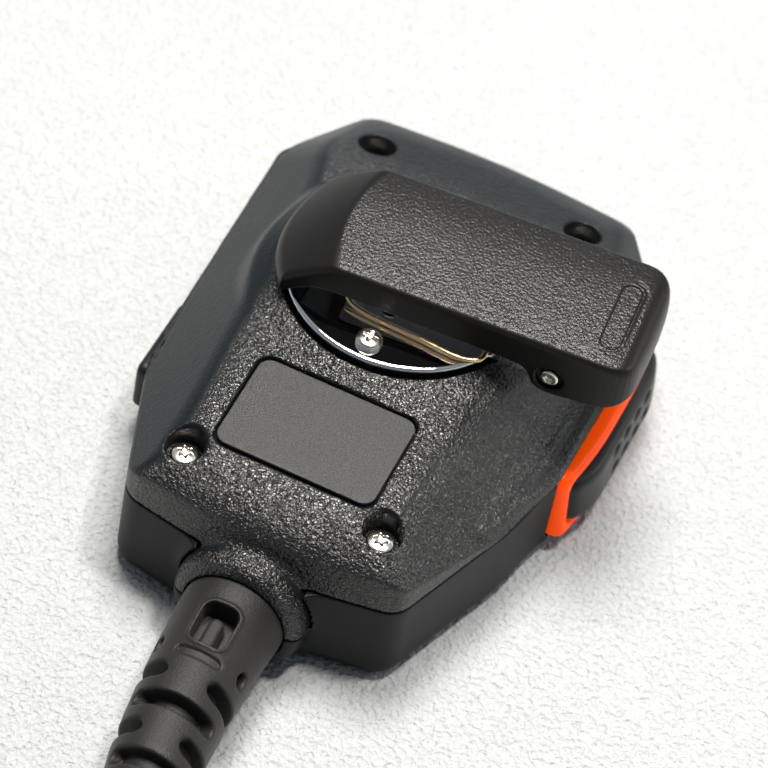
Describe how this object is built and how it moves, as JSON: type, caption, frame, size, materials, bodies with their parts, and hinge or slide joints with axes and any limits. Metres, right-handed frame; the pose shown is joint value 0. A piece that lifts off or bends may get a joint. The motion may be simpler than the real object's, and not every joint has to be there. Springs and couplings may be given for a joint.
{
  "type": "hand microphone",
  "caption": "Palm-sized speaker microphone lying on its front face, with a side talk key, a ribbed cord boot and a swivelling spring clip on its back.",
  "frame": {"origin": "middle of the front face, under the swivel's middle line, where the microphone rests", "axes": "+Z out of the back through the clip; +Y towards the top; -Y along the cord; +X towards the talk key"},
  "size_m": [0.068, 0.1635, 0.039],
  "materials": {
    "front_plastic": "smooth matte moulded, blue-black",
    "rear_plastic": "leather-grained on the back, satin on the flanks, black",
    "lever_plastic": "fine spark grain on top, satin sides, black",
    "inner_plastic": "smooth moulded, dark grey",
    "orange_plastic": "glossy moulded, saturated orange",
    "label": "satin, charcoal, blank",
    "key_rubber": "satin moulded, black",
    "seal_rubber": "matt, black",
    "boot_rubber": "fine-grained matt, warm dark grey",
    "chrome": "mirror-polished plating",
    "nickel": "bright nickel plating",
    "spring_steel": "drawn wire, warm reflections",
    "steel": "plain zinc plating",
    "board": "green solder mask",
    "paper": "pressed paper, dark grey",
    "cloth": "fine woven mesh, black",
    "wire_red": "smooth insulation",
    "wire_white": "smooth insulation",
    "wire_green": "smooth insulation",
    "wire_black": "smooth insulation"
  },
  "bodies": {
    "housing": {"front_case": "front_plastic", "rear_case": "rear_plastic", "case_gasket": "seal_rubber", "case_screw_1": "nickel", "case_screw_2": "nickel", "case_screw_3": "nickel", "case_screw_4": "nickel", "label_plate": "label", "key_bezel": "orange_plastic", "key_switch": "inner_plastic", "jack_socket": "inner_plastic", "grille_cloth": "cloth", "speaker_gasket": "seal_rubber", "speaker_frame": "steel", "speaker_cone": "paper", "speaker_magnet": "steel", "mic_boot": "seal_rubber", "mic_capsule": "nickel", "circuit_board": "board", "board_screw_1": "steel", "board_screw_2": "steel", "cord_boot": "boot_rubber", "cord_jacket": "seal_rubber", "cord_anchor": "steel", "wire_red": "wire_red", "wire_white": "wire_white", "wire_green": "wire_green", "wire_black": "wire_black"},
    "swivel": {"swivel_hub": "inner_plastic", "hub_washer": "steel", "hub_retainer": "steel", "hub_screw": "steel", "clip_base": "chrome", "base_screw_1": "nickel", "base_screw_2": "nickel", "base_rivet": "nickel", "clip_pin": "nickel", "clip_spring": "spring_steel"},
    "lever": {"clip_lever": "lever_plastic", "lever_liner": "steel"},
    "key": {"talk_key": "key_rubber", "key_core": "inner_plastic"},
    "plunger": {"switch_plunger": "inner_plastic"},
    "jack_flap": {"jack_cover": "key_rubber"}
  },
  "joints": [
    {"name": "clip_swivel", "type": "hinge", "parent": "housing", "child": "swivel", "pos_m": [0, 0.0034, 0.0291], "axis": [0, 0, 1], "continuous": true},
    {"name": "clip_hinge", "type": "hinge", "parent": "swivel", "child": "lever", "pos_m": [0.02473, 0.0053, 0.0322], "axis": [-0.0767, 0.9971, 0], "range_deg": [0, 10], "stiffness_Nm_per_rad": 0.02},
    {"name": "key_press", "type": "slide", "parent": "housing", "child": "key", "axis": [-1, 0, 0], "range_m": [0, 0.0009], "stiffness_N_per_m": 200},
    {"name": "switch_press", "type": "slide", "parent": "housing", "child": "plunger", "axis": [-1, 0, 0], "range_m": [0, 0.0003]},
    {"name": "jack_cover_hinge", "type": "hinge", "parent": "housing", "child": "jack_flap", "pos_m": [-0.0309, -0.0032, 0.009], "axis": [0, 0, -1], "range_deg": [0, 110]}
  ],
  "couplings": [
    {"joint": "switch_press", "follows": "key_press", "ratio": 0.3}
  ]
}
